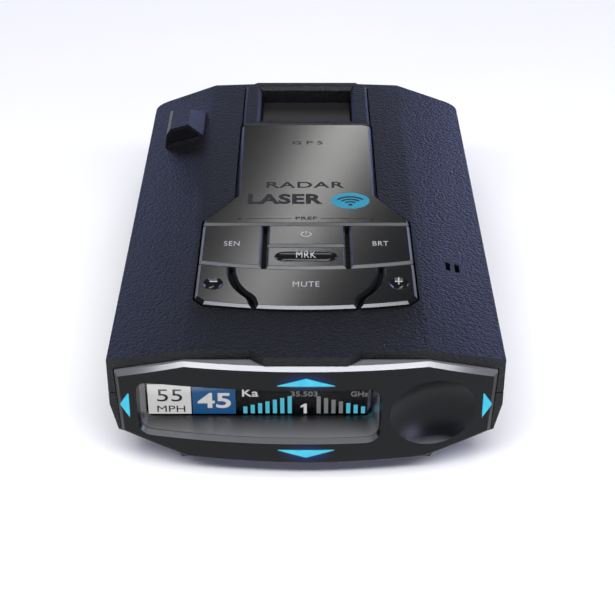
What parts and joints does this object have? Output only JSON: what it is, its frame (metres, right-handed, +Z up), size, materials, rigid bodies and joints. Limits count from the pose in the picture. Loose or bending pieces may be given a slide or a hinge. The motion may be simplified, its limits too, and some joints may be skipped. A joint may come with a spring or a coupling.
{
  "type": "radar detector",
  "caption": "Windshield radar detector: faceted dark housing, curved front bezel with recessed display, keypad, panel and magnetic mount pocket on top.",
  "frame": {"origin": "on the surface the detector stands on, under the middle of its length and width", "axes": "+X to the driver's right, +Y towards the road (the display faces -Y), +Z up"},
  "size_m": [0.0812, 0.133, 0.0339],
  "materials": {
    "shell": "leather-grained satin, blue-black",
    "mount_surround": "satin black",
    "bezel": "smooth satin charcoal",
    "panel_paint": "satin metallic dark grey paint",
    "key_paint": "satin metallic dark grey paint with printed legends",
    "well": "glossy dark grey",
    "lens": "clear, polished",
    "arrow_lens": "translucent cyan, lit",
    "display": "black panel, lit picture",
    "laser_filter": "very dark, polished",
    "plated_steel": "black zinc plated",
    "seat_steel": "black coated",
    "magnet": "nickel plated",
    "circuit_board": "green solder mask",
    "antenna_casting": "as cast",
    "tin_plate": "tin plated",
    "ceramic_patch": "pale ceramic",
    "switch_body": "stamped",
    "switch_plunger": "moulded",
    "socket": "moulded",
    "speaker_body": "moulded with paper cone",
    "led_package": "white",
    "sensor": "moulded",
    "flex_cable": "amber film",
    "label_film": "blank satin label"
  },
  "bodies": {
    "housing": {"top_case": "shell", "bottom_case": "shell", "rating_label": "label_film", "front_bezel": "bezel", "display_well": "well", "display_lens": "lens", "display_module": "display", "display_board": "circuit_board", "top_panel": "panel_paint", "mount_frame": "mount_surround", "mount_plate": "seat_steel", "mount_magnet": "magnet", "rear_laser_window": "laser_filter", "rear_laser_receiver": "sensor", "road_laser_window": "laser_filter", "road_laser_receiver": "sensor", "main_board": "circuit_board", "road_horn": "antenna_casting", "rear_horn": "antenna_casting", "rf_shield": "tin_plate", "gps_antenna": "ceramic_patch", "speaker": "speaker_body", "power_jack": "socket", "usb_port": "tin_plate", "earphone_jack": "socket", "light_sensor": "sensor", "display_ribbon": "flex_cable", "arrow_light_up": "arrow_lens", "arrow_led_up": "led_package", "arrow_light_down": "arrow_lens", "arrow_led_down": "led_package", "arrow_light_left": "arrow_lens", "arrow_led_left": "led_package", "arrow_light_right": "arrow_lens", "arrow_led_right": "led_package", "case_screw_front_left": "plated_steel", "case_screw_front_right": "plated_steel", "case_screw_rear_left": "plated_steel", "case_screw_rear_right": "plated_steel", "mute_switch": "switch_body", "volume_down_switch": "switch_body", "volume_up_switch": "switch_body", "sensitivity_switch": "switch_body", "brightness_switch": "switch_body", "power_switch": "switch_body", "mark_switch": "switch_body"},
    "mute_button": {"mute_key": "key_paint", "mute_plunger": "switch_plunger"},
    "volume_down_button": {"volume_down_key": "key_paint", "volume_down_plunger": "switch_plunger"},
    "volume_up_button": {"volume_up_key": "key_paint", "volume_up_plunger": "switch_plunger"},
    "sensitivity_button": {"sensitivity_key": "key_paint", "sensitivity_plunger": "switch_plunger"},
    "brightness_button": {"brightness_key": "key_paint", "brightness_plunger": "switch_plunger"},
    "power_button": {"power_key": "key_paint", "power_plunger": "switch_plunger"},
    "mark_button": {"mark_key": "key_paint", "mark_plunger": "switch_plunger"}
  },
  "joints": [
    {"name": "mute_press", "type": "slide", "parent": "housing", "child": "mute_button", "axis": [0, 0, -1], "range_m": [0, 0.0005], "stiffness_N_per_m": 1000, "springref_m": -0.0006},
    {"name": "volume_down_press", "type": "slide", "parent": "housing", "child": "volume_down_button", "axis": [0, 0, -1], "range_m": [0, 0.0005], "stiffness_N_per_m": 1000, "springref_m": -0.0006},
    {"name": "volume_up_press", "type": "slide", "parent": "housing", "child": "volume_up_button", "axis": [0, 0, -1], "range_m": [0, 0.0005], "stiffness_N_per_m": 1000, "springref_m": -0.0006},
    {"name": "sensitivity_press", "type": "slide", "parent": "housing", "child": "sensitivity_button", "axis": [0, 0, -1], "range_m": [0, 0.0005], "stiffness_N_per_m": 1000, "springref_m": -0.0006},
    {"name": "brightness_press", "type": "slide", "parent": "housing", "child": "brightness_button", "axis": [0, 0, -1], "range_m": [0, 0.0005], "stiffness_N_per_m": 1000, "springref_m": -0.0006},
    {"name": "power_press", "type": "slide", "parent": "housing", "child": "power_button", "axis": [0, 0, -1], "range_m": [0, 0.0005], "stiffness_N_per_m": 1000, "springref_m": -0.0006},
    {"name": "mark_press", "type": "slide", "parent": "housing", "child": "mark_button", "axis": [0, 0, -1], "range_m": [0, 0.0005], "stiffness_N_per_m": 1000, "springref_m": -0.0006}
  ]
}
